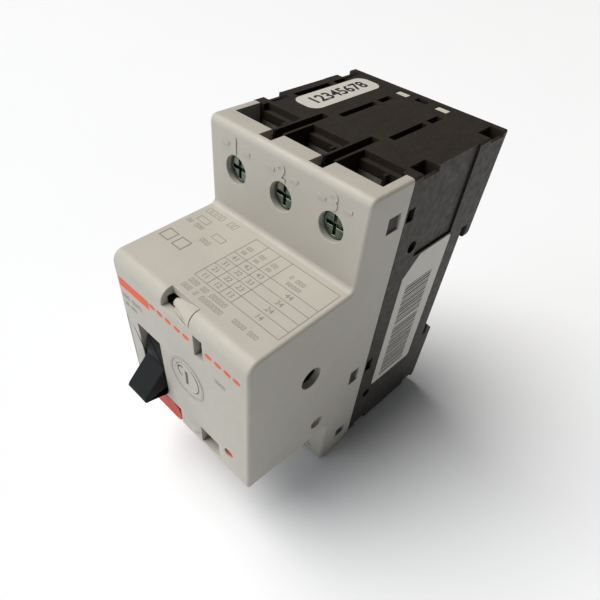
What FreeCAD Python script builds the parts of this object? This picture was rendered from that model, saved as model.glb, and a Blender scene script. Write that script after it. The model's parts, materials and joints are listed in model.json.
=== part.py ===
import FreeCAD, Part
import math
import os
import re
import Sketcher

# Three-pole motor protection breaker for a 35 mm rail.
# X runs across the poles, Y from the operator's side (negative) to the rail, Z up.
# The origin is the middle of the rail seat. All sizes are millimetres.

SIZES = {
    # Outside of the case
    "width": 45,
    "nose_front": 71.7,
    "face_front": 43.1,
    "split": 30.4,
    "rear": 5.0,
    "top": 43.7,
    "bottom": 43.4,
    "body_bottom": 40.4,
    "nose_top": 21.5,
    "nose_root_top": 23.0,
    "nose_bottom": 23.5,
    "nose_root_bottom": 25.1,
    "wall": 1.8,
    "face_wall": 3.2,
    "side_wall": 2.3,
    "nose_round": 3.0,
    "terminal_round": 1.7,
    "root_round": 1.4,
    "edge_round": 0.8,
    # Details of the nose
    "cheek": 1.3,
    "cheek_deep": 4.5,
    "collar_low": 3.6,
    "collar_high": 5.6,
    "ring_gap": 1.4,
    "ring_wide": 0.5,
    "notch_left": 4.4,
    "notch_right": 4.8,
    "bridge_left": 3.0,
    "bridge_length": 7.4,
    "window_left": 5.8,
    "window_right": 8.6,
    "window_low": 11.5,
    "window_high": 17.3,
    "strip_label_left": -21.8,
    "strip_label_right": -18.8,
    "strip_label_low": -17,
    "strip_label_high": 3.5,
    "drive_y": -53.1,
    "drive_z": 3.9,
    "drive_radius": 3,
    "dimple_y": -48.1,
    "dimple_z": -18.2,
    "dimple_radius": 2,
    "dimple_deep": 1.1,
    # Rail recess
    "rail_half": 17.5,
    "groove_top": 20.4,
    "groove_deep": 2.2,
    "lip_end": 16.8,
    "hook_deep": 1.4,
    "hook_top": 14.4,
    "hook_rear": 4.6,
    # Terminals
    "pitch": 14,
    "line_screw_z": 34.3,
    "load_screw_z": -34.0,
    "pocket_half": 5.2,
    "pocket_front": 37.6,
    "pocket_rear": 29.0,
    "screw_hole": 3.2,
    "head_radius": 2.9,
    "head_front": 41.9,
    "head_thick": 2.4,
    "shank_radius": 1.95,
    "shank_end": 28.6,
    "clamp_half": 4.3,
    "clamp_thick": 1.2,
    "strip": 1.4,
    "strip_half": 4,
    "strip_front": 31.9,
    # Chambers of the rear housing
    "chamber_half": 6.2,
    "chamber_top": 39.2,
    "chamber_bottom": -38.4,
    "chamber_rear": 2.2,
    "barrier": 7,
    "barrier_half": 1.75,
    "slot_half": 1.1,
    "ledge_top_low": 24.4,
    "ledge_top_high": 27.2,
    "ledge_bottom_low": -26.9,
    "ledge_bottom_high": -24.4,
    "barrier_back": 23.1,
    "slot_end": 32,
    "snap_arm": 1.6,
    "snap_gap": 0.3,
    # Outside of the rear housing
    "vent_left": 5.65,
    "vent_right": 3.95,
    "notch_inner": 18.9,
    "notch_deep": 4,
    "notch_side": 1.1,
    "panel_front": -22.2,
    "panel_rear": -6.7,
    "panel_low": 22.2,
    "blind_radius": 1.5,
    "blind_deep": 1.9,
    "clip_left_x": -4.4,
    "clip_right_x": 7.0,
    "clip_half": 1.8,
    "clip_front": 0.6,
    "clip_rear": 3.2,
    "label_thick": 0.1,
    # Toggle
    "toggle_x": -12.6,
    "toggle_half": 3.95,
    "toggle_y": -63.2,
    "toggle_z": -5.4,
    "drum_radius": 8.2,
    "tip_reach": 15,
    "opening_half": 4.45,
    "opening_low": -14.5,
    "opening_high": 3.8,
    "pin_radius": 1.5,
    "running": 0.06,
    # Contact system
    "bridge_low": -9,
    "bridge_high": 13,
    "contact_low": -7,
    "contact_high": 11,
    "bridge_rear": 18.4,
    "fixed_front": 12.8,
    "bridge_thick": 1.2,
    "bridge_half": 2,
    "lower_half": 3,
    "leg_half": 3.2,
    "leg_low": -1,
    "leg_high": 5,
    "leg_rear": 16.8,
    "cross_half": 18.2,
    "cross_front": 42,
    "cross_rear": 38.5,
    "cross_low": -8.5,
    "push_rod": 1.6,
    "push_front": 53.2,
    "chute_half": 5.4,
    "chute_front": 27,
    "chute_rear": 15.5,
    "chute_low": 14.6,
    "chute_step": 2.2,
    "chute_plate": 0.8,
    "tip_thick": 0.8,
    "tip_radius": 1.9,
    # Trip system
    "coil_z": -17.5,
    "coil_front": 20,
    "coil_ring": 4.15,
    "coil_wire": 1.05,
    "coil_step": 2,
    "plunger_radius": 2.3,
    "plunger_head": 3.2,
    "bimetal_shift": 4,
    "bimetal_half": 0.45,
    "plate_rear": 45,
    "plate_thick": 1.5,
    "latch_x": 12,
    "latch_z": -3,
    "latch_post": 1.2,
    "latch_foot": 1.5,
    "indicator_left": 6.1,
    "indicator_right": 8.3,
    "bar_left": -17.5,
    "bar_right": 18.8,
    "bar_front": -35,
    "bar_rear": -31.5,
    "bar_low": -17.6,
    "bar_high": -12.2,
    "bimetal_front": 27.2,
    "bimetal_rear": 22.2,
    "bimetal_tip": 34.2,
    "bimetal_low": -36.7,
    "bimetal_high": -13,
    # Front controls
    "dial_x": 1.7,
    "dial_z": 0.2,
    "dial_radius": 4.1,
    "test_x": 15.5,
    "test_z": -15.5,
    "test_radius": 1.35,
    "guide": 11,
    "tab_left": -15.6,
    "tab_right": -3.7,
    "tab_top": -17.2,
    "gap": 0.15,
}
POLES = {1: "-pitch", 2: "0", 3: "pitch"}
TURNS = {
    "X": FreeCAD.Rotation(FreeCAD.Vector(0, 1, 0), 90),
    "Y": FreeCAD.Rotation(FreeCAD.Vector(1, 0, 0), -90),
    "Z": FreeCAD.Rotation(),
}

doc = FreeCAD.newDocument("MotorBreaker")
sheet = doc.addObject("Spreadsheet::Sheet", "Sizes")
for row, (alias, size) in enumerate(SIZES.items(), 1):
    sheet.set(f"A{row}", alias)
    sheet.set(f"B{row}", str(size))
    sheet.setAlias(f"B{row}", alias)
doc.recompute()

nodes = []


def formula(text):
    """Turn 'width / 2' into the sheet's own 'Sizes.width / 2'."""
    return re.sub(r"[a-z][a-z_]+", lambda word: "Sizes." + word.group(0), str(text))


def bind(thing, prop, text):
    thing.setExpression(prop, formula(text))


def place(thing, x="0", y="0", z="0"):
    for axis, text in zip("xyz", (x, y, z)):
        bind(thing, f"Placement.Base.{axis}", text)


def block(x, y, z):
    """A box between the (low, high) formulas of each axis."""
    box = doc.addObject("Part::Box", "Block")
    for prop, (low, high) in zip(("Length", "Width", "Height"), (x, y, z)):
        bind(box, prop, f"({high}) - ({low})")
    place(box, x[0], y[0], z[0])
    return box


def rod(axis, radius, start, length):
    """A cylinder from the start point, along +X, +Y or +Z."""
    cylinder = doc.addObject("Part::Cylinder", "Rod")
    bind(cylinder, "Radius", radius)
    bind(cylinder, "Height", length)
    cylinder.Placement.Rotation = TURNS[axis]
    place(cylinder, *start)
    return cylinder


def outline(plane, points, length, centre="0"):
    """A body: a closed outline padded both ways from a plane that stands at centre."""
    body = doc.addObject("PartDesign::Body", "Profile")
    sketch = body.newObject("Sketcher::SketchObject", "Outline")
    origin_plane = next(item for item in body.Origin.OriginFeatures if item.Role == plane)
    sketch.AttachmentSupport = (origin_plane, [""])
    sketch.MapMode = "FlatFace"
    # The lines start as a regular polygon; the bound distances then place each corner.
    count = len(points)
    turns = [2 * math.pi * index / count for index in range(count)]
    corners = [FreeCAD.Vector(math.cos(turn), math.sin(turn), 0) for turn in turns]
    for index in range(count):
        following = (index + 1) % count
        sketch.addGeometry(Part.LineSegment(corners[index], corners[following]), False)
    for index in range(count):
        sketch.addConstraint(Sketcher.Constraint("Coincident", index, 2, (index + 1) % count, 1))
    for index, (corner, point) in enumerate(zip(corners, points)):
        for kind, start, text in zip(("DistanceX", "DistanceY"), corner, point):
            constraint = Sketcher.Constraint(kind, -1, 1, index, 1, start)
            place_in_list = sketch.addConstraint(constraint)
            bind(sketch, f"Constraints[{place_in_list}]", text)
    pad = body.newObject("PartDesign::Pad", "Pad")
    pad.Profile = sketch
    pad.SideType = "Symmetric"
    bind(pad, "Length", length)
    axis = {"YZ_Plane": "x", "XZ_Plane": "y", "XY_Plane": "z"}[plane]
    bind(body, f"Placement.Base.{axis}", centre)
    return body


def round_edges(body, radius, chosen):
    """Fillet a body's edges whose middle point passes the chosen test."""
    doc.recompute()
    base = body.Tip
    names = []
    for index, edge in enumerate(base.Shape.Edges, 1):
        middle = edge.valueAt((edge.FirstParameter + edge.LastParameter) / 2)
        if chosen(middle):
            names.append(f"Edge{index}")
    fillet = body.newObject("PartDesign::Fillet", "Round")
    fillet.Base = (base, names)
    bind(fillet, "Radius", radius)
    body.Tip = fillet
    return body


def joined(pieces):
    fuse = doc.addObject("Part::MultiFuse", "Joined")
    fuse.Shapes = pieces
    return fuse


def without(base, tools):
    cut = doc.addObject("Part::Cut", "Without")
    cut.Base = base
    cut.Tool = tools[0] if len(tools) == 1 else joined(tools)
    return cut


def group(pieces):
    """Separate identical solids that share one node."""
    compound = doc.addObject("Part::Compound", "Group")
    compound.Links = pieces
    return compound


def spring(axis, radius, wire, start, length, turns):
    """A round-wire coil spring from the start point, along its axis."""
    helix = doc.addObject("Part::Helix", "Helix")
    bind(helix, "Radius", radius)
    bind(helix, "Height", f"({length}) - 2 * ({wire})")
    bind(helix, "Pitch", f"(({length}) - 2 * ({wire})) / {turns}")
    circle = doc.addObject("Part::Circle", "Wire")
    bind(circle, "Radius", wire)
    circle.Placement.Rotation = FreeCAD.Rotation(FreeCAD.Vector(1, 0, 0), 90)
    bind(circle, "Placement.Base.x", radius)
    coil = doc.addObject("Part::Sweep", "Spring")
    coil.Sections = [circle]
    coil.Spine = (helix, [])
    coil.Solid = True
    coil.Frenet = True
    coil.Placement.Rotation = TURNS[axis]
    offset = {"X": (wire, "0", "0"), "Y": ("0", wire, "0"), "Z": ("0", "0", wire)}[axis]
    place(coil, *(f"({s}) + ({o})" for s, o in zip(start, offset)))
    return coil


def node(name, thing):
    thing.Label = name
    nodes.append(thing)


# ---------------------------------------------------------------- case

# Snap windows in the cover's side walls: depth range and height range of each.
SNAPS = [
    (("-36.4", "-32.5"), ("33.9", "37.5")),
    (("-36.7", "-33.3"), ("-12.3", "-7.4")),
    (("-37.2", "-33.7"), ("-36.7", "-33.4")),
]


def both_sides(x, y, z):
    """A block and its mirror image across the middle plane."""
    low, high = x
    return [block((low, high), y, z), block((f"-({high})", f"-({low})"), y, z)]


def front_cover():
    """Light shell: the nose with the controls, and the fronts of both terminal rows."""
    shell = outline("YZ_Plane", [
        ("-nose_front", "-nose_bottom"),
        ("-nose_front", "nose_top"),
        ("-face_front", "nose_root_top"),
        ("-face_front", "top"),
        ("-split", "top"),
        ("-split", "-body_bottom"),
        ("-split - 3.1", "-bottom"),
        ("-face_front", "-bottom"),
        ("-face_front", "-nose_root_bottom"),
    ], "width")
    front, top = -SIZES["nose_front"], SIZES["nose_top"]
    round_edges(shell, "nose_round",
                lambda p: abs(p.y - front) < 0.01 and abs(p.z - top) < 0.01)
    side, split = SIZES["width"] / 2, -SIZES["split"]
    face, ceiling, floor = -SIZES["face_front"], SIZES["top"], -SIZES["bottom"]
    round_edges(shell, "terminal_round",
                lambda p: abs(p.y - face) < 0.01 and (abs(p.z - ceiling) < 0.01 or abs(p.z - floor) < 0.01))
    roots = (SIZES["nose_root_top"], -SIZES["nose_root_bottom"])
    round_edges(shell, "root_round",
                lambda p: abs(p.y - face) < 0.01 and min(abs(p.z - root) for root in roots) < 0.01)
    round_edges(shell, "edge_round",
                lambda p: abs(abs(p.x) - side) < 0.01 and p.y < split - 0.01
                or abs(p.x) < 0.01 and abs(p.y - front) < 0.01 and p.z < 0)
    half = "width / 2 - wall"
    pocket_x = ("side_wall - width / 2", "width / 2 - side_wall")
    opening_x = ("toggle_x - opening_half", "toggle_x + opening_half")
    opening_z = ("opening_low", "opening_high")
    hollows = [
        block((f"-({half})", half), ("-nose_front + wall", "-split + 1"),
              ("-nose_bottom + wall", "nose_top - wall")),
        block(pocket_x, ("-face_front + face_wall", "-split + 1"),
              ("nose_top - wall - 1", "top - 2")),
        block(pocket_x, ("-face_front + face_wall", "-split + 1"),
              ("-bottom + 2", "-nose_bottom + wall + 1")),
        block(pocket_x, ("-pocket_front", "-split + 1"), ("nose_top", "top + 1")),
        block(pocket_x, ("-pocket_front", "-split + 1"), ("-bottom - 1", "-nose_bottom")),
    ]
    solid = without(shell, hollows)

    # Collar around the toggle; its cheeks carry the pivot pin.
    cheek_deep = ("-nose_front + wall / 2", "toggle_y + cheek_deep")
    collar = [
        block(("toggle_x - opening_half - cheek", "toggle_x - opening_half"), cheek_deep,
              ("opening_low - 1.2", "opening_high + 1.2")),
        block(("toggle_x + opening_half", "toggle_x + opening_half + cheek"), cheek_deep,
              ("opening_low - 1.2", "opening_high + 1.2")),
        block(opening_x, ("-nose_front + wall / 2", "-nose_front + collar_low"),
              ("opening_low - 1.2", "opening_low")),
        block(opening_x, ("-nose_front + wall / 2", "-nose_front + collar_high"),
              ("opening_high", "opening_high + 1.2")),
    ]
    # Raised ring around the setting dial, and a guide tube for the test button.
    ring = without(
        rod("Y", "dial_radius + ring_gap + ring_wide", ("dial_x", "-nose_front - 0.15", "dial_z"), "1"),
        [rod("Y", "dial_radius + ring_gap", ("dial_x", "-nose_front - 1", "dial_z"), "3")])
    tube = rod("Y", "test_radius + 1.2", ("test_x", "-nose_front + 1", "test_z"), "guide - 1")
    # Seal bridge: a cone that rises inside the notch from deep to flush.
    bridge = doc.addObject("Part::Cone", "Bridge")
    bind(bridge, "Radius1", "nose_round - 2.0")
    bind(bridge, "Radius2", "nose_round - 0.15")
    bind(bridge, "Height", "bridge_length")
    bridge.Placement.Rotation = TURNS["X"]
    place(bridge, "-bridge_left", "-nose_front + nose_round", "nose_top - nose_round")
    notch = block(("-notch_left", "notch_right"), ("-nose_front - 1", "-nose_front + nose_round + 0.4"),
                  ("nose_top - nose_round - 0.4", "nose_top + 1"))
    solid = joined([without(solid, [notch]), bridge, ring, tube] + collar)

    slots = []
    for sign in ("-", ""):
        slots.append(block((f"{sign}barrier - barrier_half", f"{sign}barrier + barrier_half"),
                           ("-face_front + 1.7", "-pocket_front + 1"), ("top - 5", "top + 1")))
        slots.append(block((f"{sign}barrier - barrier_half", f"{sign}barrier + barrier_half"),
                           ("-face_front + 1.7", "-pocket_front + 1"),
                           ("-bottom - 1", "-bottom + 5")))
    holes = []
    for x in POLES.values():
        for z in ("line_screw_z", "load_screw_z"):
            holes.append(rod("Y", "screw_hole", (x, "-face_front - 1", z), "6"))
    holes += [
        block(opening_x, ("-nose_front - 1", "-nose_front + 6"), opening_z),
        rod("X", "pin_radius", ("toggle_x - opening_half - cheek", "toggle_y", "toggle_z"),
            "2 * (opening_half + cheek)"),
        rod("Y", "dial_radius + gap", ("dial_x", "-nose_front - 1", "dial_z"), "wall + 2"),
        rod("Y", "test_radius + gap", ("test_x", "-nose_front - 1", "test_z"), "guide + 2"),
        # Window over the trip indicator
        block(("window_left", "window_right"), ("-nose_front - 1", "-nose_front + wall + 1"),
              ("window_low", "window_high")),
        # Notch for the padlock slide
        block(("tab_left - gap", "tab_right + gap"), ("-nose_front - 1", "-nose_front + wall + 1"),
              ("-nose_bottom - 1", "tab_top + gap")),
        block(("tab_left - gap", "tab_right + gap"), ("-nose_front - 1", "-nose_front + 15"),
              ("-nose_bottom - 2", "-nose_bottom + wall + 1")),
        # Seat of the label strip beside the toggle
        block(("strip_label_left", "strip_label_right"), ("-nose_front - 1", "-nose_front + 0.3"),
              ("strip_label_low", "strip_label_high")),
    ]
    # Two finger recesses under the dial, each with a sloping floor.
    holes.append(outline("XY_Plane", [
        ("1.2", "-nose_front - 0.5"), ("4.6", "-nose_front - 0.5"), ("4.6", "-nose_front + 1.0"),
        ("1.2", "-nose_front - 0.2")], "6", "-18.6"))
    holes.append(outline("XY_Plane", [
        ("4.9", "-nose_front - 0.5"), ("13.2", "-nose_front - 0.5"), ("9.6", "-nose_front + 1.5"),
        ("9.6", "-nose_front + 3"), ("4.9", "-nose_front + 3")], "6.4", "-19"))
    # Side openings: accessory drive, locating dimple and the snap windows.
    for side_x in ("width / 2 - 3", "-width / 2 - 3"):
        holes.append(rod("X", "drive_radius", (side_x, "drive_y", "drive_z"), "6"))
    for side_x in ("width / 2 - dimple_deep", "-width / 2 - 1"):
        holes.append(rod("X", "dimple_radius", (side_x, "dimple_y", "dimple_z"), "1 + dimple_deep"))
    for y, z in SNAPS:
        holes += both_sides(("width / 2 - 3", "width / 2 + 1"), y, z)
    node("front_cover", without(solid, slots + holes))


def rear_housing():
    """Dark shell: three chambers, the rail recess and the barriers between poles."""
    shell = outline("YZ_Plane", [
        ("-split", "-body_bottom"),
        ("-split", "top"),
        ("rear", "top"),
        ("rear", "lip_end + 0.9"),
        ("rear - 0.7", "lip_end"),
        ("groove_deep", "lip_end"),
        ("groove_deep", "groove_top"),
        ("0", "groove_top"),
        ("0", "-rail_half - 0.2"),
        ("hook_deep", "-rail_half - 0.2"),
        ("hook_deep", "-hook_top"),
        ("hook_rear", "-rail_half"),
        ("hook_rear", "-body_bottom + 1.6"),
        ("hook_rear - 1", "-body_bottom"),
    ], "width")
    side, split = SIZES["width"] / 2, -SIZES["split"]
    round_edges(shell, "0.5", lambda p: abs(abs(p.x) - side) < 0.01 and p.y > split + 0.01)
    hollows = []
    for x in POLES.values():
        hollows.append(block((f"{x} - chamber_half", f"{x} + chamber_half"),
                             ("-split - 1", "-chamber_rear"), ("chamber_bottom", "chamber_top")))
    solid = without(shell, hollows)

    side_x = "width / 2 - side_wall - gap"
    extras = []
    for sign in ("-", ""):
        barrier_x = (f"{sign}barrier - barrier_half", f"{sign}barrier + barrier_half")
        extras.append(block(barrier_x, ("-pocket_front + 0.2", "-split + 8"),
                            ("ledge_top_low", "top")))
        extras.append(block(barrier_x, ("-pocket_front + 0.2", "-split + 8"),
                            ("-body_bottom", "-24.6")))
    # Ledges under each row of terminals keep fingers and wires out of the mechanism.
    for z in (("ledge_top_low", "ledge_top_high"), ("ledge_bottom_low", "ledge_bottom_high")):
        extras.append(block((f"-({side_x})", side_x), ("-pocket_front + 0.2", "-split + 0.5"), z))
    # Snap arms reach forward inside the cover; their hooks fill the cover's windows.
    for (y_low, y_high), (z_low, z_high) in SNAPS:
        extras += both_sides(("width / 2 - side_wall - snap_arm", side_x), (y_low, "-split + 2"),
                             (f"{z_low} + snap_gap", f"{z_high} - snap_gap"))
        extras += both_sides(("width / 2 - side_wall - snap_arm", "width / 2 - side_wall + 0.3"),
                             ("-split + 0.1", "-split + 3"), (f"{z_low} + snap_gap", f"{z_high} - snap_gap"))
        extras += both_sides(("width / 2 - side_wall - snap_arm", "width / 2 - 0.4"),
                             (f"{y_low} + 0.5", f"{y_high} - 0.4"),
                             (f"{z_low} + snap_gap", f"{z_high} - snap_gap"))
    # Funnel behind each upper wire entry, with its rib.
    for x in POLES.values():
        extras.append(outline("YZ_Plane", [
            ("-pocket_rear", "42.2"), ("-pocket_rear - 2.6", "38.8"),
            ("-pocket_rear - 2.6", "38.6"), ("-pocket_rear + 0.4", "38.6"),
            ("-pocket_rear + 0.4", "42.2")], "2 * pocket_half + 0.6", x))
        extras.append(block((f"{x} + 1.9", f"{x} + 2.6"), ("-pocket_rear - 2.6", "-pocket_rear"),
                            ("38.7", "42.2")))
    solid = joined([solid] + extras)

    cuts = []
    for sign in ("-", ""):
        slot_x = (f"{sign}barrier - slot_half", f"{sign}barrier + slot_half")
        cuts.append(block(slot_x, ("-pocket_front - 1", "-barrier_back"), ("slot_end", "top + 1")))
        cuts.append(block(slot_x, ("-pocket_front - 1", "-barrier_back"),
                          ("-body_bottom - 1", "-slot_end")))
    for x in POLES.values():
        pocket_x = (f"{x} - pocket_half", f"{x} + pocket_half")
        cuts.append(block(pocket_x, ("-split - 1", "-pocket_rear"), ("42.3", "top + 1")))
        cuts.append(block(pocket_x, ("-split - 1", "-pocket_rear"), ("-body_bottom - 1", "-39.7")))
        # Arc vents over each chamber, top and bottom
        vent_x = (f"{x} - vent_left", f"{x} - vent_right")
        for y in (("-20.6", "-8.4"), ("-6.8", "-2.4")):
            cuts.append(block(vent_x, y, ("chamber_top - 1", "top + 1")))
            cuts.append(block(vent_x, y, ("-body_bottom - 1", "chamber_bottom + 1")))
    # Corner notches that take accessory hooks
    for y in (("-27.7", "-22.4"), ("-2.3", "3.2")):
        cuts += both_sides(("notch_inner", "width / 2 - 0.9"), y, ("top - notch_deep", "top + 1"))
        cuts += both_sides(("width / 2 - 1", "width / 2 + 1"), y, ("top - notch_side", "top + 1"))
        cuts += both_sides(("notch_inner", "width / 2 + 1"), y,
                           ("-body_bottom - 1", "-body_bottom + notch_deep / 2"))
    # Shallow side panels above the labels, locating recesses and rivet holes
    cuts += both_sides(("width / 2 - 0.5", "width / 2 + 1"), ("panel_front", "panel_rear"),
                       ("panel_low", "top + 1"))
    cuts += both_sides(("width / 2 - 1.2", "width / 2 + 1"), ("-30.0", "-27.6"), ("33.9", "36.9"))
    cuts += both_sides(("width / 2 - 1.2", "width / 2 + 1"), ("-30.0", "-27.6"), ("-12.2", "-8.0"))
    for start in ("width / 2 - blind_deep", "-width / 2 - 1"):
        for y, z in (("-24.3", "25.8"), ("-25.7", "-25.0")):
            cuts.append(rod("X", "blind_radius", (start, y, z), "1 + blind_deep"))
    # Seats of the two light clips at the rear top edge, and the notch between them
    for x in ("clip_left_x", "clip_right_x"):
        cuts.append(block((f"{x} - clip_half", f"{x} + clip_half"), ("clip_front", "clip_rear"),
                          ("top - 3", "top + 1")))
    cuts.append(block(("-0.4", "2.8"), ("0.9", "2.9"), ("top - 3", "top + 1")))
    node("rear_housing", without(solid, cuts))


def small_case_parts():
    """Rail springs, rear clips, labels and the plate that carries the mechanism."""
    leaves = []
    for x in ("-11", "11"):
        leaves.append(outline("XZ_Plane", [
            (f"{x} - 7", "groove_top"), (f"{x} - 7", "groove_top - 0.5"),
            (f"{x} - 1", "rail_half + 0.05"), (f"{x} + 1", "rail_half + 0.05"),
            (f"{x} + 7", "groove_top - 0.5"), (f"{x} + 7", "groove_top"),
            (f"{x} + 6.4", "groove_top"), (f"{x} + 0.9", "rail_half + 0.55"),
            (f"{x} - 0.9", "rail_half + 0.55"), (f"{x} - 6.4", "groove_top"),
        ], "groove_deep - 0.6", "groove_deep / 2"))
    node("rail_springs", group(leaves))
    clips = [block((f"{x} - clip_half + 0.1", f"{x} + clip_half - 0.1"),
                   ("clip_front + 0.1", "clip_rear - 0.1"), ("top - 3", "top - 0.2"))
             for x in ("clip_left_x", "clip_right_x")]
    node("rear_clips", group(clips))
    node("top_label", block(("-17.6", "-10.1"), ("-23.4", "1.4"), ("top", "top + label_thick")))
    node("side_label", outline("YZ_Plane", [
        ("-24.2", "-22.4"), ("-24.2", "19.0"), ("-22.0", "21.7"), ("-6.1", "21.7"),
        ("-6.1", "-22.4")], "label_thick", "width / 2 + label_thick / 2"))
    node("front_label", block(("strip_label_left + 0.2", "strip_label_right - 0.2"),
                              ("-nose_front + 0.15", "-nose_front + 0.3"),
                              ("strip_label_low + 0.2", "strip_label_high - 0.2")))
    plate = block(("wall - width / 2", "width / 2 - wall"), ("-plate_rear - plate_thick", "-plate_rear"),
                  ("-nose_bottom + wall", "nose_top - wall"))
    openings = [
        rod("Y", "2.4", ("toggle_x", "-plate_rear - 2", "toggle_z"), "3"),
        rod("Y", "1.3", ("test_x", "-plate_rear - 2", "test_z"), "3"),
        rod("Y", "latch_foot", ("latch_x", "-plate_rear - 2", "latch_z"), "3"),
        block(("2", "12.5"), ("-plate_rear - 2", "-plate_rear + 1"), ("11.8", "17")),
    ]
    node("mechanism_plate", without(plate, openings))


# ---------------------------------------------------------------- controls

def toggle():
    """Lever in its OFF position: a drum, the wedge handle and the inner cam arm."""
    handle = outline("YZ_Plane", [
        ("toggle_y - 4", "opening_low + 0.05"),
        ("toggle_y - tip_reach + 0.4", "opening_low + 0.05"),
        ("toggle_y - tip_reach", "opening_low + 0.6"),
        ("toggle_y - tip_reach", "opening_low + 1.1"),
        ("toggle_y - tip_reach + 0.5", "opening_low + 1.9"),
        ("toggle_y - 5.2", "opening_low + 11.1"),
    ], "2 * toggle_half", "toggle_x")
    side, drum_edge = SIZES["toggle_half"], SIZES["toggle_y"] - 6
    round_edges(handle, "0.45", lambda p: abs(abs(p.x) - side) < 0.01 and p.y < drum_edge)
    drum = rod("X", "drum_radius", ("toggle_x - toggle_half", "toggle_y", "toggle_z"),
               "2 * toggle_half")
    arm = block(("toggle_x - 2.2", "toggle_x + 2.2"), ("toggle_y", "toggle_y + 12.6"),
                ("toggle_z - 1.5", "toggle_z + 1.5"))
    tilt = FreeCAD.Rotation(FreeCAD.Vector(1, 0, 0), 50)
    arm.Placement.Rotation = tilt
    # The arm turns about the pivot, so its corner shifts by the tilted half thickness.
    shift = tilt.multVec(FreeCAD.Vector(0, 0, -1.5))
    bind(arm, "Placement.Base.y", f"toggle_y + {shift.y:.4f}")
    bind(arm, "Placement.Base.z", f"toggle_z + {shift.z:.4f}")
    bore = rod("X", "pin_radius + running", ("toggle_x - 8", "toggle_y", "toggle_z"), "16")
    node("toggle_lever", without(joined([drum, handle, arm]), [bore]))
    node("toggle_pin", rod("X", "pin_radius",
                           ("toggle_x - opening_half - cheek", "toggle_y", "toggle_z"),
                           "2 * (opening_half + cheek)"))


def front_controls():
    """Setting dial, test button with its spring, and the padlock slide."""
    face = rod("Y", "dial_radius", ("dial_x", "-nose_front - 0.1", "dial_z"), "2.4")
    shaft = rod("Y", "2", ("dial_x", "-nose_front + 2", "dial_z"), "22.5")
    slot = block(("dial_x - 0.45", "dial_x + 0.45"), ("-nose_front - 1", "-nose_front + 1"),
                 ("dial_z - 2.3", "dial_z + 2.3"))
    node("setting_dial", without(joined([face, shaft]), [slot]))

    cap = rod("Y", "test_radius", ("test_x", "-nose_front + 0.4", "test_z"), "guide")
    collar = rod("Y", "2.2", ("test_x", "-nose_front + guide + 0.1", "test_z"), "1.4")
    stem = rod("Y", "0.9", ("test_x", "-nose_front + guide + 1", "test_z"),
               "nose_front - plate_rear - guide - 2.3")
    node("test_button", joined([cap, collar, stem]))
    node("test_spring", spring("Y", "1.6", "0.25",
                               ("test_x", "-nose_front + guide + 1.55", "test_z"),
                               "nose_front - plate_rear - guide - 3.15", 8))

    slide = outline("XZ_Plane", [
        ("tab_left", "-nose_bottom"), ("tab_right - 2.0", "-nose_bottom"),
        ("tab_right - 0.6", "-nose_bottom + 0.6"), ("tab_right", "-nose_bottom + 2.0"),
        ("tab_right", "tab_top - 3.0"), ("tab_right - 0.9", "tab_top - 0.9"),
        ("tab_right - 3.0", "tab_top"), ("tab_left", "tab_top")],
        "13.8", "-nose_front + 6.9")
    hole = rod("Z", "2.2", ("-7.6", "-nose_front + 3.8", "-nose_bottom - 1"), "10")
    node("padlock_slide", without(slide, [hole]))


# ---------------------------------------------------------------- current path

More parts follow.
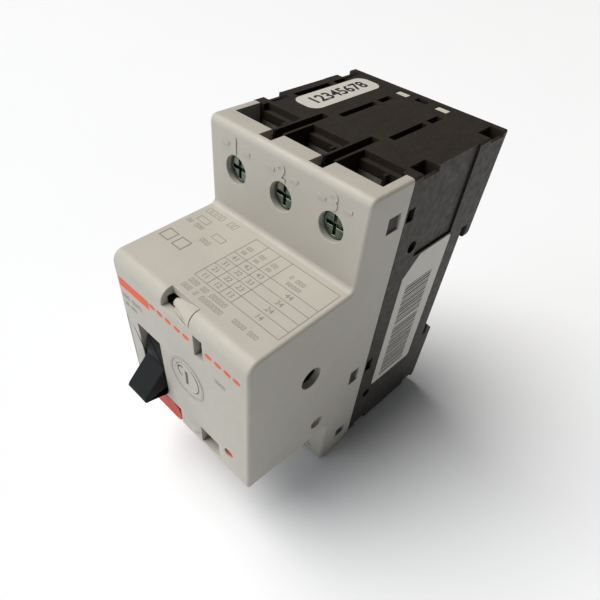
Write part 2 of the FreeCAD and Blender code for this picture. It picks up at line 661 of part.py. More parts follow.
def terminals():
    """Screws, clamp plates and the strips of all six terminals."""
    tip = "tip_thick"
    for pole, x in POLES.items():
        strip_x = (f"{x} - strip_half", f"{x} + strip_half")
        rows = (("line", "line_screw_z", 1), ("load", "load_screw_z", -1))
        for row_name, z, way in rows:
            head = rod("Y", "head_radius", (x, "-head_front", z), "head_thick")
            shank = rod("Y", "shank_radius", (x, "-head_front + 1", z),
                        "head_front - shank_end - 1")
            blades = [block((f"{x} - {a}", f"{x} + {a}"), ("-head_front - 1", "-head_front + 1.1"),
                            (f"{z} - {b}", f"{z} + {b}")) for a, b in ((2.3, 0.4), (0.4, 2.3))]
            node(f"{row_name}_screw_{pole}", without(joined([head, shank]), blades))
            plate_front = "-head_front + head_thick + 0.05"
            plate = block((f"{x} - clamp_half", f"{x} + clamp_half"),
                          (plate_front, f"{plate_front} + clamp_thick"),
                          (f"{z} - 4.2", f"{z} + 4.2"))
            hole = rod("Y", "shank_radius + 0.1", (x, "-head_front", z), "8")
            node(f"{row_name}_clamp_{pole}", without(plate, [hole]))

        # Line side: terminal plate, run to the rear, drop to the upper fixed contact.
        line = outline("YZ_Plane", [
            ("-strip_front", "38.4"), ("-strip_front + strip", "38.4"),
            ("-strip_front + strip", "28.6"), ("-fixed_front + strip", "28.6"),
            ("-fixed_front + strip", "8.5"), ("-fixed_front", "8.5"),
            ("-fixed_front", "27.2"), ("-strip_front", "27.2")], "2 * strip_half", x)
        upper_tip = rod("Y", "tip_radius", (x, "-fixed_front - tip_thick", "contact_high"), "1.2")
        line_hole = rod("Y", "shank_radius + running", (x, "-strip_front - 1", "line_screw_z"), "4")
        node(f"line_terminal_{pole}", without(joined([line, upper_tip]), [line_hole]))

        # Load side: terminal plate and the run that carries the bimetal's root.
        load = outline("YZ_Plane", [
            ("-strip_front", "-26.9"), ("-strip_front + strip", "-26.9"),
            ("-strip_front + strip", "-36.8"), ("-22", "-36.8"), ("-22", "-38.2"),
            ("-strip_front", "-38.2")], "2 * strip_half", x)
        load_hole = rod("Y", "shank_radius + running", (x, "-strip_front - 1", "load_screw_z"), "4")
        node(f"load_terminal_{pole}", without(load, [load_hole]))

        lower = block((f"{x} - lower_half", f"{x} + lower_half"), ("-fixed_front", "-fixed_front + strip"),
                      ("coil_z + 5.5", "-4.6"))
        lower_tip = rod("Y", "tip_radius", (x, "-fixed_front - tip_thick", "contact_low"), "1.2")
        node(f"lower_contact_{pole}", joined([lower, lower_tip]))

        bar = block((f"{x} - bridge_half", f"{x} + bridge_half"),
                    ("-bridge_rear - bridge_thick", "-bridge_rear"),
                    ("bridge_low", "bridge_high"))
        tips = [rod("Y", "tip_radius", (x, "-bridge_rear - 0.4", z), f"{tip} + 0.4")
                for z in ("contact_low", "contact_high")]
        node(f"moving_contact_{pole}", joined([bar] + tips))

        plates = []
        for count in range(5):
            low = f"chute_low + {count} * chute_step"
            plates.append(block((f"{x} - chute_half", f"{x} + chute_half"),
                                ("-chute_front", "-chute_rear"), (low, f"{low} + chute_plate")))
        node(f"arc_chute_{pole}", group(plates))


def contact_carrier():
    """Crossbar with one window leg per pole and the rod that the toggle's cam pushes."""
    pieces = [block(("-cross_half", "cross_half"), ("-cross_front", "-cross_rear"),
                    ("cross_low", "leg_high"))]
    windows = []
    springs = []
    for x in POLES.values():
        pieces.append(block((f"{x} - leg_half", f"{x} + leg_half"),
                            ("-cross_rear - 0.5", "-leg_rear"), ("leg_low", "leg_high")))
        windows.append(block((f"{x} - bridge_half - 0.2", f"{x} + bridge_half + 0.2"),
                             ("-chute_front", "-bridge_rear + 0.2"), ("leg_low - 1", "leg_high + 1")))
        springs.append(spring("Y", "1.5", "0.3", (x, "-26.95", "2"), "7.3", 5))
    pieces.append(rod("Y", "push_rod", ("toggle_x", "-push_front", "toggle_z"), "12"))
    node("contact_carrier", without(joined(pieces), windows))
    node("contact_springs", group(springs))


# ---------------------------------------------------------------- trip system

def trip_system():
    """Magnet coils, plungers, bimetals, the trip bar and the latch they release."""
    slots = []
    for pole, x in POLES.items():
        rings = []
        for turn in range(6):
            ring = doc.addObject("Part::Torus", "Turn")
            bind(ring, "Radius1", "coil_ring")
            bind(ring, "Radius2", "coil_wire")
            ring.Placement.Rotation = TURNS["Y"]
            place(ring, x, f"-coil_front + coil_wire + {turn} * coil_step", "coil_z")
            rings.append(ring)
        node(f"trip_coil_{pole}", joined(rings))
        core = rod("Y", "plunger_radius", (x, "-25.6", "coil_z"), "13.6")
        head = rod("Y", "plunger_head", (x, "-26.5", "coil_z"), "1")
        pin = rod("Y", "1.2", (x, "-30", "coil_z"), "4")
        node(f"trip_plunger_{pole}", joined([core, head, pin]))
        node(f"plunger_spring_{pole}",
             spring("Y", "plunger_head - 0.45", "0.3", (x, "-25.45", "coil_z"), "5.3", 3))

        bimetal_x = f"{x} + bimetal_shift"
        strip = outline("YZ_Plane", [
            ("-bimetal_front", "bimetal_low"), ("-bimetal_rear", "bimetal_low"),
            ("-bimetal_rear", "bimetal_high"), ("-bimetal_tip", "bimetal_high"),
            ("-bimetal_tip", "bimetal_high - 2.6"), ("-bimetal_front", "bimetal_high - 2.6")],
            "2 * bimetal_half", bimetal_x)
        # The strip bends about the round weld at its root.
        weld = rod("Y", "bimetal_half + 0.15", (bimetal_x, "-bimetal_front", "bimetal_low + 0.55"),
                   "bimetal_front - bimetal_rear")
        node(f"bimetal_{pole}", joined([strip, weld]))
        slots.append(block((f"{bimetal_x} - 0.75", f"{bimetal_x} + 0.75"), ("-36", "-31"),
                           ("-16.2", "-12")))

    bar = block(("bar_left", "bar_right"), ("bar_front", "bar_rear"), ("bar_low", "bar_high"))
    finger = block(("11.3", "12.7"), ("-44", "-34"), ("-17", "-15"))
    node("trip_bar", without(joined([bar, finger]), slots))

    lever = outline("XZ_Plane", [
        ("9.6", "-18"), ("14.4", "-18"), ("14.4", "-5"), ("13.6", "0.5"), ("8.8", "16.2"),
        ("5.8", "16.2"), ("5.8", "12.4"), ("9.6", "0")], "1.4", "-43.9")
    fork = block(("11.0", "13.0"), ("-46", "-42"), ("-19", "-14.6"))
    bore = rod("Y", "latch_post + running", ("latch_x", "-plate_rear - 1", "latch_z"), "4")
    node("latch_lever", without(lever, [fork, bore]))
    post = rod("Y", "latch_post", ("latch_x", "-plate_rear", "latch_z"), "2.6")
    foot = rod("Y", "latch_foot", ("latch_x", "-plate_rear - plate_thick", "latch_z"), "plate_thick")
    node("latch_pin", joined([post, foot]))
    node("trip_indicator", block(("indicator_left", "indicator_right"), ("-66", "-44.6"), ("12.6", "16")))


front_cover()
rear_housing()
small_case_parts()
toggle()
front_controls()
terminals()
contact_carrier()
trip_system()
doc.recompute()

for thing in doc.Objects:
    if "Invalid" in thing.State or "Error" in thing.State:
        raise RuntimeError(f"{thing.Label} failed: {thing.State}")
os.makedirs("parts", exist_ok=True)
for thing in nodes:
    if thing.Shape.isNull() or not thing.Shape.isValid():
        raise RuntimeError(f"{thing.Label} has no valid shape")
    thing.Shape.exportStep(f"parts/{thing.Label}.step")
    solids = len(thing.Shape.Solids)
    print(f"{thing.Label}: {solids} solid(s), {thing.Shape.Volume:.1f} mm3")
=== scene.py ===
import json
import math

import bmesh
import bpy
from mathutils import Euler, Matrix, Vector


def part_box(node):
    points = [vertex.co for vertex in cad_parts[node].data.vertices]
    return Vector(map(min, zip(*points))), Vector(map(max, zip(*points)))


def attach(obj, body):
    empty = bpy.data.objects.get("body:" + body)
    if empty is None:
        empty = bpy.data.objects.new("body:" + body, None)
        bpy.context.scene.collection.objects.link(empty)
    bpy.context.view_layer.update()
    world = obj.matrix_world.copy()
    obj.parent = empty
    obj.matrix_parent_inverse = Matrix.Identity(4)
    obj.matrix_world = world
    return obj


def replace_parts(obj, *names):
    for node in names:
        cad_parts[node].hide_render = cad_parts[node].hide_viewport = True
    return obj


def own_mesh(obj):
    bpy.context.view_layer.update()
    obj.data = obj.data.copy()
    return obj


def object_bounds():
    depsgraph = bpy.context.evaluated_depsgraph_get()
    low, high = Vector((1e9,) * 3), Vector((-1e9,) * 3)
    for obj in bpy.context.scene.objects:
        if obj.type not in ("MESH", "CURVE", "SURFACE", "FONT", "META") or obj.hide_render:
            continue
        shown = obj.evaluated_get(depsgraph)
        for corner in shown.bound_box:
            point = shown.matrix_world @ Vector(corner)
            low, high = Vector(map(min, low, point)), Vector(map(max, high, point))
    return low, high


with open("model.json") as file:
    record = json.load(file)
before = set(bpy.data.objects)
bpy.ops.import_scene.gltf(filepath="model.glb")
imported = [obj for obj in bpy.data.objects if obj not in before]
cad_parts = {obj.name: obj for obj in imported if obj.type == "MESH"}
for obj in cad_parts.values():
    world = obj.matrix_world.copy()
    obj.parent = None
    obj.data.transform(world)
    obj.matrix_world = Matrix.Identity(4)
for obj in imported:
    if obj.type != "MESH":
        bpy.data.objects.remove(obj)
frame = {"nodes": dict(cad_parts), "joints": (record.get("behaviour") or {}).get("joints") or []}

CAD_BOX = [list(corner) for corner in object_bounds()]

MM = 0.001               # one millimetre in metres; every size below is in mm unless it says otherwise

# The three poles, with the middle of each across the breaker.
POLE_PITCH = 14
TERMINALS = {1: -POLE_PITCH, 2: 0, 3: POLE_PITCH}

# Flat faces of the case. The nose's top slopes up from its front edge to the terminal face.
NOSE_FRONT = -71.7
TERMINAL_FACE = -43.1
NOSE_TOP_FRONT = 21.5
NOSE_TOP_REAR = 23.0
TOP_FACE = 43.7
SIDE_FACE = 22.5

# Thickness of what lies on the faces.
PRINT = 0.03
RAISED = 0.2
LABEL = 0.06
FINE_PRINT = 0.02

# Rounded copies of CAD nodes: corners closer than the weld become one, faces flatter than the flat angle
# are joined, and edges sharper than the sharp angle are rounded. Angles are in degrees.
WELD = 0.002
FLAT_ANGLE = 0.6
SHARP_ANGLE = 35
ROUNDED = (                     # node, body, slot, width of the rounded edge, steps in it
    ("front_cover", "case", "cover_plastic", 0.14, 2),
    ("toggle_lever", "toggle", "toggle_plastic", 0.35, 3),
    ("padlock_slide", "padlock", "red_plastic", 0.25, 3),
    ("setting_dial", "dial", "dial_plastic", 0.12, 2),
    ("test_button", "button", "red_plastic", 0.12, 2),
    ("trip_indicator", "latch", "indicator_plastic", 0.1, 2),
    ("rear_clips", "case", "light_plastic", 0.15, 2),
)
SCREW_EDGE = 0.14
SCREW_STEPS = 3


# ---------------------------------------------------------------- materials

def tint(red, green, blue):
    """A linear colour from 0-255 screen values, by the sRGB curve."""
    linear = []
    for value in (red, green, blue):
        part = value / 255
        linear.append(part / 12.92 if part <= 0.04045 else ((part + 0.055) / 1.055) ** 2.4)
    return (*linear, 1.0)


class Look:
    """A procedural material in object space, where one unit is a metre."""

    def __init__(self, name, metallic=0.0, specular=0.5):
        self.material = bpy.data.materials.new(name)
        self.material.use_nodes = True
        self.nodes = self.material.node_tree.nodes
        self.links = self.material.node_tree.links
        self.shader = self.nodes["Principled BSDF"]
        self.shader.inputs["Metallic"].default_value = metallic
        self.shader.inputs["Specular IOR Level"].default_value = specular
        self.place = self.nodes.new("ShaderNodeTexCoord").outputs["Object"]
        self.relief = None

    def stretched(self, x, y, z):
        """Object coordinates scaled per axis, for grain that runs one way."""
        mapping = self.nodes.new("ShaderNodeMapping")
        mapping.inputs["Scale"].default_value = (x, y, z)
        self.links.new(self.place, mapping.inputs["Vector"])
        return mapping.outputs["Vector"]

    def noise(self, size_mm, detail=2.0, place=None):
        """Noise whose features are about size_mm across."""
        texture = self.nodes.new("ShaderNodeTexNoise")
        texture.inputs["Scale"].default_value = 1 / (size_mm * MM)
        texture.inputs["Detail"].default_value = detail
        self.links.new(place or self.place, texture.inputs["Vector"])
        return texture.outputs["Fac"]

    def cells(self, size_mm):
        """Small rounded cells, for a spark-eroded or cast skin."""
        texture = self.nodes.new("ShaderNodeTexVoronoi")
        texture.inputs["Scale"].default_value = 1 / (size_mm * MM)
        self.links.new(self.place, texture.inputs["Vector"])
        return texture.outputs["Distance"]

    def spread(self, value, low, high, start=0.3, end=0.7):
        """Map a 0-1 texture value to the range low-high."""
        remap = self.nodes.new("ShaderNodeMapRange")
        for socket, number in zip(("From Min", "From Max", "To Min", "To Max"), (start, end, low, high)):
            remap.inputs[socket].default_value = number
        self.links.new(value, remap.inputs["Value"])
        return remap.outputs["Result"]

    def blend(self, factor, one, other):
        """Mix two colours, or a colour socket and a colour, by a factor socket."""
        mix = self.nodes.new("ShaderNodeMix")
        mix.data_type = "RGBA"
        self.links.new(factor, mix.inputs["Factor"])
        for socket, colour in ((mix.inputs["A"], one), (mix.inputs["B"], other)):
            if isinstance(colour, tuple):
                socket.default_value = colour
            else:
                self.links.new(colour, socket)
        return mix.outputs["Result"]

    def colour(self, value):
        """The base colour, from a colour socket."""
        self.links.new(value, self.shader.inputs["Base Color"])

    def roughness(self, value):
        """The roughness, from a value socket."""
        self.links.new(value, self.shader.inputs["Roughness"])

    def bump(self, height, depth_mm, strength=1.0):
        """Relief of depth_mm from a value socket; a second call adds to the first."""
        bump = self.nodes.new("ShaderNodeBump")
        bump.inputs["Distance"].default_value = depth_mm * MM
        bump.inputs["Strength"].default_value = strength
        self.links.new(height, bump.inputs["Height"])
        if self.relief is not None:
            self.links.new(self.relief, bump.inputs["Normal"])
        self.relief = bump.outputs["Normal"]
        self.links.new(self.relief, self.shader.inputs["Normal"])


def moulded_plastic(name, main, other, gloss=(0.42, 0.56), grain_mm=0.22, relief_mm=0.012, specular=0.5):
    """Injection-moulded plastic: faint clouding, a fine eroded skin and uneven sheen."""
    look = Look(name, specular=specular)
    cloud = look.spread(look.noise(7, detail=3), 0, 1)
    speck = look.spread(look.noise(0.5, detail=1), 0, 1, 0.45, 0.85)
    clouded = look.blend(cloud, tint(*main), tint(*other))
    darker = tuple(round(value * 0.97) for value in main)
    look.colour(look.blend(speck, clouded, tint(*darker)))
    look.roughness(look.spread(look.noise(3, detail=4), *gloss))
    look.bump(look.cells(grain_mm), relief_mm)
    look.bump(look.noise(9, detail=1), 0.05, 0.5)
    return look.material


def streaked_plastic(name, main, other, streak, gloss, relief_mm):
    """Glass-filled dark plastic: flow streaks along the depth and a matt eroded skin."""
    look = Look(name, specular=0.3)
    along = look.stretched(1, 0.22, 1)
    flow = look.spread(look.noise(2.2, detail=4, place=along), 0, 1, 0.35, 0.68)
    fibre = look.spread(look.noise(0.25, detail=2, place=along), 0, 1, 0.55, 0.8)
    look.colour(look.blend(fibre, look.blend(flow, tint(*main), tint(*other)), tint(*streak)))
    look.roughness(look.spread(look.noise(1.6, detail=4), *gloss))
    look.bump(look.noise(0.3, detail=3), relief_mm)
    look.bump(look.noise(6, detail=1), 0.06, 0.5)
    return look.material


def plated_metal(name, main, other, gloss, stretch=(1, 1, 1), relief_mm=0.01, stain=None):
    """Plated or bare metal: grain, which a stretch draws out, dull patches and an optional stain."""
    look = Look(name, metallic=1.0)
    along = look.stretched(*stretch)
    patch = look.spread(look.noise(1.4, detail=4), 0, 1)
    surface = look.blend(patch, tint(*main), tint(*other))
    if stain is not None:
        surface = look.blend(look.spread(look.noise(2.6, detail=5), 0, 1, 0.55, 0.72), surface, tint(*stain))
    look.colour(surface)
    look.roughness(look.spread(look.noise(0.5, detail=5, place=along), *gloss))
    look.bump(look.noise(0.18, detail=4, place=along), relief_mm)
    return look.material


def paper(name, main, other):
    """Coated label paper: nearly even, with faint fibre and a slight sheen."""
    look = Look(name, specular=0.4)
    fibre = look.spread(look.noise(0.35, detail=4), 0, 1)
    look.colour(look.blend(fibre, tint(*main), tint(*other)))
    look.roughness(look.spread(look.noise(1.2, detail=3), 0.38, 0.5))
    look.bump(look.noise(0.5, detail=3), 0.006)
    return look.material


def ink(name, main, worn):
    """Pad-printed ink: a thin film that is a little lighter where it is worn."""
    look = Look(name, specular=0.3)
    wear = look.spread(look.noise(0.4, detail=3), 0, 1, 0.62, 0.8)
    look.colour(look.blend(wear, tint(*main), tint(*worn)))
    look.roughness(look.spread(look.noise(0.8, detail=2), 0.5, 0.62))
    look.bump(look.noise(0.25, detail=2), 0.004)
    return look.material


def make_looks():
    """One material for each of the record's slots, plus the inks."""
    return {
        "cover_plastic": moulded_plastic("cover_plastic", (183, 179, 170), (179, 175, 166)),
        "housing_plastic": streaked_plastic("housing_plastic", (36, 31, 25), (42, 36, 29), (56, 48, 38),
                                            (0.45, 0.62), 0.02),
        "inner_plastic": moulded_plastic("inner_plastic", (62, 56, 50), (54, 49, 44), relief_mm=0.02),
        "light_plastic": moulded_plastic("light_plastic", (206, 202, 192), (196, 192, 182), relief_mm=0.015),
        "label_paper": paper("label_paper", (208, 205, 198), (200, 197, 190)),
        "label_grey": paper("label_grey", (184, 183, 178), (178, 177, 172)),
        "toggle_plastic": moulded_plastic("toggle_plastic", (24, 27, 28), (28, 31, 32), gloss=(0.42, 0.54),
                                          relief_mm=0.008, specular=0.12),
        "red_plastic": moulded_plastic("red_plastic", (200, 52, 28), (206, 60, 34), gloss=(0.4, 0.52),
                                       relief_mm=0.008, specular=0.2),
        "dial_plastic": moulded_plastic("dial_plastic", (184, 180, 171), (180, 176, 167), relief_mm=0.01),
        "indicator_plastic": moulded_plastic("indicator_plastic", (34, 34, 35), (40, 40, 41),
                                             relief_mm=0.008),
        "zinc_steel": plated_metal("zinc_steel", (168, 170, 160), (138, 142, 132), (0.28, 0.46),
                                   stretch=(1, 1, 0.2)),
        "screw_zinc": plated_metal("screw_zinc", (112, 126, 116), (84, 98, 90), (0.16, 0.3),
                                   relief_mm=0.014, stain=(134, 134, 112)),
        "spring_steel": plated_metal("spring_steel", (150, 150, 150), (126, 126, 128), (0.22, 0.38),
                                     stretch=(0.2, 1, 1)),
        "copper": plated_metal("copper", (202, 128, 92), (178, 108, 78), (0.24, 0.42), stretch=(1, 1, 0.2),
                               stain=(120, 74, 56)),
        "copper_wire": plated_metal("copper_wire", (196, 112, 66), (170, 92, 54), (0.18, 0.32),
                                    stain=(132, 72, 46)),
        "bimetal": plated_metal("bimetal", (176, 168, 150), (150, 142, 126), (0.3, 0.46),
                                stretch=(1, 1, 0.15), stain=(128, 104, 82)),
        "orange_ink": ink("orange_ink", (222, 96, 58), (228, 118, 82)),
        "grey_ink": ink("grey_ink", (136, 133, 127), (156, 153, 146)),
        "black_ink": ink("black_ink", (44, 44, 46), (70, 70, 72)),
    }


# ---------------------------------------------------------------- pieces

LOOKS = make_looks()


def finish_piece(piece, body, slot, look=None):
    """Give a new piece its material, from its look or else its slot, and its body."""
    piece.data.materials.clear()
    piece.data.materials.append(LOOKS[look or slot])
    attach(piece, body)
    return piece


def mesh_piece(name, build, body, slot, look=None):
    """A new mesh piece from a finished bmesh."""
    mesh = bpy.data.meshes.new(name)
    build.to_mesh(mesh)
    build.free()
    piece = bpy.data.objects.new(name, mesh)
    bpy.context.collection.objects.link(piece)
    return finish_piece(piece, body, slot, look)


def paint_nodes():
    """Every CAD node takes the procedural material of its slot, which its packed material is named after."""
    for node in frame["nodes"].values():
        for index, old in enumerate(node.data.materials):
            node.data.materials[index] = LOOKS[old.name.split(".")[0]]


def softened(node, body, slot, width, steps):
    """A copy of a CAD node with small rounded edges, which stands for the node."""
    build = bmesh.new()
    build.from_mesh(frame["nodes"][node].data)
    bmesh.ops.remove_doubles(build, verts=build.verts, dist=WELD * MM)
    bmesh.ops.dissolve_limit(build, angle_limit=math.radians(FLAT_ANGLE), verts=build.verts,
                             edges=build.edges)
    piece = mesh_piece("soft_" + node, build, body, slot)
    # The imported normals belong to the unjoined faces.
    mesh = piece.data
    if "custom_normal" in mesh.attributes:
        mesh.attributes.remove(mesh.attributes["custom_normal"])
    mesh.shade_smooth()
    edges = piece.modifiers.new("Rounded edges", "BEVEL")
    edges.width = width * MM
    edges.segments = steps
    edges.limit_method = "ANGLE"
    edges.angle_limit = math.radians(SHARP_ANGLE)
    # With the overlap clamp, the shortest edge would limit the width everywhere.
    edges.use_clamp_overlap = False
    edges.harden_normals = True
    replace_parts(piece, node)


def soften_pieces():
    """Rounded copies of the nodes whose edges are seen up close."""
    for node, body, slot, width, steps in ROUNDED:
        softened(node, body, slot, width, steps)
    for pole in TERMINALS:
        for row in ("line", "load"):
            screw = f"{row}_screw_{pole}"
            softened(screw, screw, "screw_zinc", SCREW_EDGE, SCREW_STEPS)


def coil_spring(node):
    """A copy of a CAD spring, with a mesh of its own, which stands for the node."""
    build = bmesh.new()
    build.from_mesh(frame["nodes"][node].data)
    piece = mesh_piece("coil_" + node, build, "case", "spring_steel")
    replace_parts(piece, node)
    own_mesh(piece)


def coil_springs():
    """The springs that the record's joints shorten."""
    for joint in frame["joints"]:
        for spring in joint.get("deforming_nodes", []):
            coil_spring(spring["node"])


class Sheet:
    """Flat marks on one face of the case, gathered in one mesh. Sizes are in mm."""

    def __init__(self, origin, across, up, thick):
        self.build = bmesh.new()
        self.origin = Vector(origin)
        self.across = Vector(across).normalized()
        self.up = Vector(up).normalized()
        self.out = self.across.cross(self.up)
        self.thick = thick

    def at(self, u, v, lift):
        """The place in metres of a point on the sheet, lifted off the face."""
        return (self.origin + self.across * u + self.up * v + self.out * lift) * MM

    def shape(self, outline):
        """A thin plate whose outline runs anticlockwise."""
        low = [self.build.verts.new(self.at(u, v, 0)) for u, v in outline]
        high = [self.build.verts.new(self.at(u, v, self.thick)) for u, v in outline]
        self.build.faces.new(high)
        self.build.faces.new(list(reversed(low)))
        count = len(outline)
        for i in range(count):
            j = (i + 1) % count
            self.build.faces.new((low[i], low[j], high[j], high[i]))

    def bar(self, left, bottom, right, top):
        """A plain rectangle."""
        self.shape([(left, bottom), (right, bottom), (right, top), (left, top)])

    def rounded(self, left, bottom, right, top, radius, steps=5):
        """A rectangle with round corners."""
        corners = [(right - radius, bottom + radius, -90), (right - radius, top - radius, 0),
                   (left + radius, top - radius, 90), (left + radius, bottom + radius, 180)]
        outline = []
        for u, v, start in corners:
            for step in range(steps + 1):
                angle = math.radians(start + 90 * step / steps)
                outline.append((u + radius * math.cos(angle), v + radius * math.sin(angle)))
        self.shape(outline)

    def lens(self, u, v, width, height, steps=20):
        """An oval with its long side across."""
        outline = []
        for step in range(steps):
            angle = 2 * math.pi * step / steps
            outline.append((u + width / 2 * math.cos(angle), v + height / 2 * math.sin(angle)))
        self.shape(outline)

    def arc(self, u, v, radius, width, start, end, steps=24):
        """Part of a ring between two angles in degrees."""
        outside = radius + width / 2
        inside = radius - width / 2
        outer = []
        inner = []
        for step in range(steps + 1):
            angle = math.radians(start + (end - start) * step / steps)
            outer.append((u + outside * math.cos(angle), v + outside * math.sin(angle)))
            inner.append((u + inside * math.cos(angle), v + inside * math.sin(angle)))
        self.shape(outer + inner[::-1])

    def open_box(self, left, bottom, right, top, line):
        """The outline of a rectangle."""
        self.bar(left, bottom, right, bottom + line)
        self.bar(left, top - line, right, top)
        self.bar(left, bottom + line, left + line, top - line)
        self.bar(right - line, bottom + line, right, top - line)

    def words(self, left, bottom, counts, height):
        """Small open boxes in place of printed letters; counts says how many each word has."""
        wide = height * 0.55
        step = height * 0.8
        line = 0.11
        for count in counts:
            for _ in range(count):
                self.open_box(left, bottom, left + wide, bottom + height, line)
                left += step
            left += step

    def numeral(self, text, u, v, height, stroke=0.0):
        """Digits centred on a point of the sheet, from the built-in font; stroke makes them bolder."""
        digit_share = 0.7
        curve = bpy.data.curves.new("digits", "FONT")
        curve.body = text
        curve.size = height / digit_share
        curve.align_x = "CENTER"
        curve.align_y = "CENTER"
        curve.offset = stroke
        curve.extrude = self.thick / 2
        curve.resolution_u = 3
        holder = bpy.data.objects.new("digits", curve)
        bpy.context.collection.objects.link(holder)
        bpy.context.view_layer.update()
        flat = bpy.data.meshes.new_from_object(holder)
        first = len(self.build.verts)
        self.build.from_mesh(flat)
        self.build.verts.ensure_lookup_table()
        for vertex in self.build.verts[first:]:
            vertex.co = self.at(u + vertex.co.x, v + vertex.co.y, self.thick * 0.5 + vertex.co.z)
        bpy.data.objects.remove(holder)
        bpy.data.curves.remove(curve)
        bpy.data.meshes.remove(flat)

    def piece(self, name, body, slot, look):
        """Turns the marks into one piece."""
        bmesh.ops.recalc_face_normals(self.build, faces=self.build.faces)
        return mesh_piece(name, self.build, body, slot, look)


def front_sheet(y, thick):
    """A sheet that faces the operator."""
    return Sheet((0, y, 0), (1, 0, 0), (0, 0, 1), thick)


def nose_top_sheet():
    """A print whose height runs from the nose's front edge towards the rear."""
    slope = (0, TERMINAL_FACE - NOSE_FRONT, NOSE_TOP_REAR - NOSE_TOP_FRONT)
    return Sheet((0, NOSE_FRONT, NOSE_TOP_FRONT), (1, 0, 0), slope, PRINT)


def side_sheet(lift, thick):
    """A sheet on the right side of the case."""
    return Sheet((SIDE_FACE + lift, 0, 0), (0, 1, 0), (0, 0, 1), thick)


# ---------------------------------------------------------------- prints and labels

def front_print():
    """Plain orange band, a row of ovals and small open boxes on the front of the nose."""
    oval_middle = 14.9
    orange = front_sheet(NOSE_FRONT, PRINT)
    orange.bar(-21.4, 13.0, -9.9, 15.5)
    for x in (-8.5, -5.7, -2.7, 0.4, 3.3, 10.6, 13.5, 16.4, 19.1):
        orange.lens(x, oval_middle, 2.3, 1.15)
    orange.piece("orange_print", "case", "label_grey", "orange_ink")
    grey = front_sheet(NOSE_FRONT, PRINT)
    grey.words(-21.0, 9.8, (3, 4), 1.2)
    grey.words(-20.6, 7.6, (2, 3), 1.0)
    grey.words(12.2, 8.6, (4,), 1.1)
    grey.piece("grey_print", "case", "label_grey", "grey_ink")


def dial_marks():
    """Dark arc painted on the dial's front as shade along its rim, which turns with it."""
    low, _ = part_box("setting_dial")
    shade_arc = front_sheet(low.y / MM, FINE_PRINT)
    # Painted shade: a black ink arc where the dial's rim lies in shadow, not a printed pointer.
    shade_arc.arc(0.2, 1.5, radius=1.55, width=0.34, start=75, end=265)
    shade_arc.piece("dial_shade_arc", "dial", "dial_plastic", "black_ink")


def rating_table():
    """Thin-lined table with generic numbers, and rows of open boxes for the print beside it."""
    sheet = nose_top_sheet()
    left = -4.2
    right = 21.0
    front = 8.7
    rear = 26.0
    line = 0.16
    row_height = 2.7
    digits = 1.35
    columns = [left, left + 4.0, left + 7.9, left + 11.6, right]
    middles = [(one + other) / 2 for one, other in zip(columns, columns[1:])]
    rows = [front + row_height * row for row in range(5)]
    head = rows[-1]
    for u in columns:
        sheet.bar(u - line / 2, front, u + line / 2, rear)
    for v in rows + [rear]:
        sheet.bar(left, v - line / 2, right, v + line / 2)
    for row, v in enumerate(rows[:-1]):
        for column, middle in enumerate(middles):
            sheet.numeral(str(10 * (row + 1) + column + 1), middle, v + row_height / 2, digits)
    for middle in middles[:-1]:
        sheet.words(middle - 1.0, head + 2.6, (2,), 1.1)
        sheet.words(middle - 0.9, head + 0.9, (2,), 0.9)
    sheet.words(columns[3] + 2.6, head + 2.7, (1, 3), 1.1)
    sheet.words(columns[3] + 3.4, head + 0.9, (5,), 1.0)
    print_beside_table(sheet)
    sheet.piece("rating_table", "case", "label_grey", "grey_ink")


def print_beside_table(sheet):
    """Open boxes in front of the table and left of it, with two signs and two empty squares."""
    sheet.words(-3.6, 6.6, (3, 2, 5), 1.2)
    sheet.words(-3.6, 4.7, (3, 1, 7), 1.2)
    sheet.words(11.4, 5.4, (4, 3), 1.1)
    sheet.words(-20.4, 24.4, (4, 2), 1.9)
    sheet.words(-20.8, 19.0, (2, 3), 1.2)
    sheet.words(-12.6, 16.4, (3,), 1.3)
    sheet.open_box(-19.6, 21.0, -15.8, 22.8, 0.14)
    sheet.open_box(-11.8, 19.0, -8.2, 20.8, 0.14)
    square = 3.4
    for u in (-20.6, -16.0):
        sheet.open_box(u, 11.2, u + square, 11.2 + square, 0.3)


def terminal_numbers():
    """Raised pole numbers between two dashes, above the line screws and below the load screws."""
    dash_start = 2.0
    dash_end = 4.6
    half_dash = 0.35
    for pole, x in TERMINALS.items():
        for row, z in (("line", 39.5), ("load", -39.6)):
            raised = front_sheet(TERMINAL_FACE, RAISED)
            raised.numeral(str(pole), x, z, 3.3, stroke=0.12)
            raised.rounded(x - dash_end, z - half_dash, x - dash_start, z + half_dash, 0.3, steps=3)
            raised.rounded(x + dash_start, z - half_dash, x + dash_end, z + half_dash, 0.3, steps=3)
            raised.piece(f"{row}_number_{pole}", "case", "cover_plastic", "cover_plastic")


def strip_label():
    """Grey strip that fills its seat beside the toggle, just below the surface."""
    low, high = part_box("front_label")
    seat = 0.2
    strip = front_sheet(high.y / MM, (high.y - low.y) / MM)
    strip.bar(low.x / MM - seat, low.z / MM - seat, high.x / MM + seat, high.z / MM + seat)
    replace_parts(strip.piece("film_strip_label", "case", "label_grey", "label_grey"), "front_label")


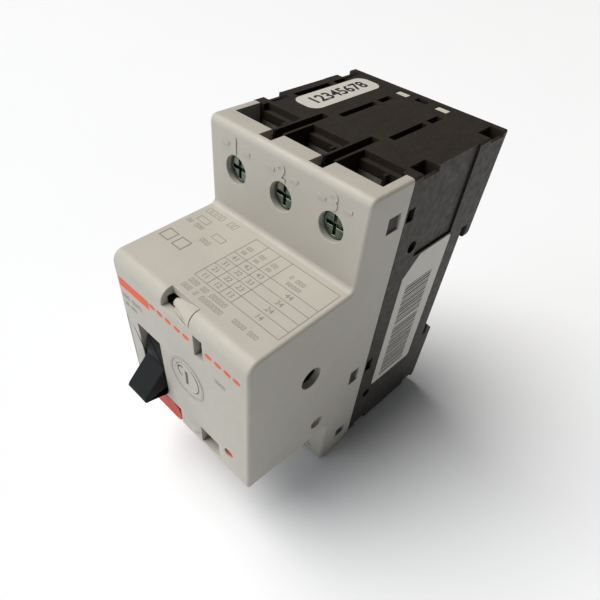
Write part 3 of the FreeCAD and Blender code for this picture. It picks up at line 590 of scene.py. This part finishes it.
def side_label():
    """White label on the right side, with one large cut corner and two blocks of plain stripes."""
    low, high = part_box("side_label")
    front = low.y / MM
    bottom = low.z / MM
    rear = high.y / MM
    top = high.z / MM
    cut = 5.0
    small = 0.6
    base = side_sheet(0, LABEL)
    base.shape([(front + small, bottom), (rear - small, bottom), (rear, bottom + small), (rear, top - small),
                (rear - small, top), (front + cut, top), (front, top - cut), (front, bottom + small)])
    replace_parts(base.piece("paper_side_label", "case", "label_paper", "label_paper"), "side_label")
    stripes = side_sheet(LABEL, FINE_PRINT)
    wide = 0.558
    thin = 0.248
    gap = 0.42
    pattern = (wide, thin, thin, wide, thin, wide, wide, thin)
    for start, repeats in ((bottom + 2.0, 3), (bottom + 22.5, 2)):
        z = start
        for width in pattern * repeats:
            stripes.bar(front + 3.0, z, rear - 4.0, z + width)
            z += width + gap
    stripes.piece("label_stripes", "case", "label_paper", "black_ink")


def top_label():
    """White rounded label on the top face with plain digits."""
    low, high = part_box("top_label")
    length = (high.y - low.y) / MM
    width = (high.x - low.x) / MM
    centre = (low + high) / 2 / MM
    base = Sheet((centre.x, centre.y, TOP_FACE), (0, 1, 0), (-1, 0, 0), LABEL)
    base.rounded(-length / 2, -width / 2, length / 2, width / 2, 2.6, steps=8)
    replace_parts(base.piece("paper_top_label", "case", "label_paper", "label_paper"), "top_label")
    digits = Sheet((centre.x, centre.y, TOP_FACE + LABEL), (0, 1, 0), (-1, 0, 0), FINE_PRINT)
    digits.numeral("12345678", 0, 0, 3.4, stroke=0.12)
    digits.piece("top_label_digits", "case", "label_paper", "black_ink")


# ---------------------------------------------------------------- scene
# Lights, floor and camera are placed in metres.

def aim(thing, target):
    """Turn a light to look at a point."""
    direction = Vector(target) - thing.location
    thing.rotation_euler = direction.to_track_quat("-Z", "Y").to_euler()


def lamp(name, light, place, target):
    """Puts a light at a place, turned to a target."""
    holder = bpy.data.objects.new(name, light)
    holder.location = place
    bpy.context.collection.objects.link(holder)
    aim(holder, target)


def high_sun():
    """A far light with very soft edges, from above on the left."""
    light = bpy.data.lights.new("high_sun", "SUN")
    light.energy = 3.2
    light.angle = math.radians(50)
    light.color = (1.0, 0.965, 0.91)
    lamp("high_sun", light, (-0.44, -0.27, 0.86), (0, 0, 0))


def front_softbox():
    """A large cool light in front of the breaker, on the left."""
    light = bpy.data.lights.new("front_softbox", "AREA")
    light.shape = "SQUARE"
    light.size = 0.8
    light.energy = 4.2
    light.color = (0.86, 0.94, 1.0)
    lamp("front_softbox", light, (-0.6, -1.1, 0.5), (0, -0.03, 0))


def floor():
    """A wide pale floor under the breaker."""
    half = 3.0
    height = CAD_BOX[0][2]
    corners = [(-half, -half, height), (half, -half, height), (half, half, height), (-half, half, height)]
    mesh = bpy.data.meshes.new("floor")
    mesh.from_pydata(corners, [], [(0, 1, 2, 3)])
    mesh.materials.append(floor_look())
    plane = bpy.data.objects.new("floor", mesh)
    bpy.context.collection.objects.link(plane)


def pale_world():
    """A world that is white where the camera sees it and lights the breaker only faintly."""
    world = bpy.data.worlds.new("studio_world")
    world.use_nodes = True
    background = world.node_tree.nodes["Background"]
    background.inputs["Color"].default_value = (1.0, 0.99, 0.97, 1.0)
    background.inputs["Strength"].default_value = 0.1
    bright = world.node_tree.nodes.new("ShaderNodeBackground")
    bright.inputs["Color"].default_value = (1.0, 1.0, 1.0, 1.0)
    seen = world.node_tree.nodes.new("ShaderNodeLightPath")
    either = world.node_tree.nodes.new("ShaderNodeMixShader")
    links = world.node_tree.links
    links.new(seen.outputs["Is Camera Ray"], either.inputs["Fac"])
    links.new(background.outputs["Background"], either.inputs[1])
    links.new(bright.outputs["Background"], either.inputs[2])
    links.new(either.outputs["Shader"], world.node_tree.nodes["World Output"].inputs["Surface"])
    bpy.context.scene.world = world


def floor_look():
    """Matt pale floor."""
    look = Look("floor_paper", specular=0.1)
    look.colour(look.blend(look.noise(60, detail=2), tint(247, 250, 255), tint(245, 248, 253)))
    look.shader.inputs["Roughness"].default_value = 0.9
    return look.material


def camera():
    """Looks down on the front right of the breaker, from close by."""
    lens = bpy.data.cameras.new("camera")
    lens.lens = 29.38
    lens.sensor_width = 36
    lens.shift_x = 0.0118
    lens.shift_y = 0.0916
    lens.clip_start = 0.005
    view = bpy.data.objects.new("camera", lens)
    view.location = (0.0641, -0.1087, 0.0875)
    view.rotation_euler = Euler((math.radians(42.04), math.radians(-3.97), math.radians(45.02)), "XYZ")
    bpy.context.collection.objects.link(view)
    bpy.context.scene.camera = view


paint_nodes()
soften_pieces()
coil_springs()
front_print()
dial_marks()
rating_table()
terminal_numbers()
strip_label()
side_label()
top_label()
floor()
pale_world()
high_sun()
front_softbox()
camera()
bpy.context.scene.view_settings.view_transform = "Standard"
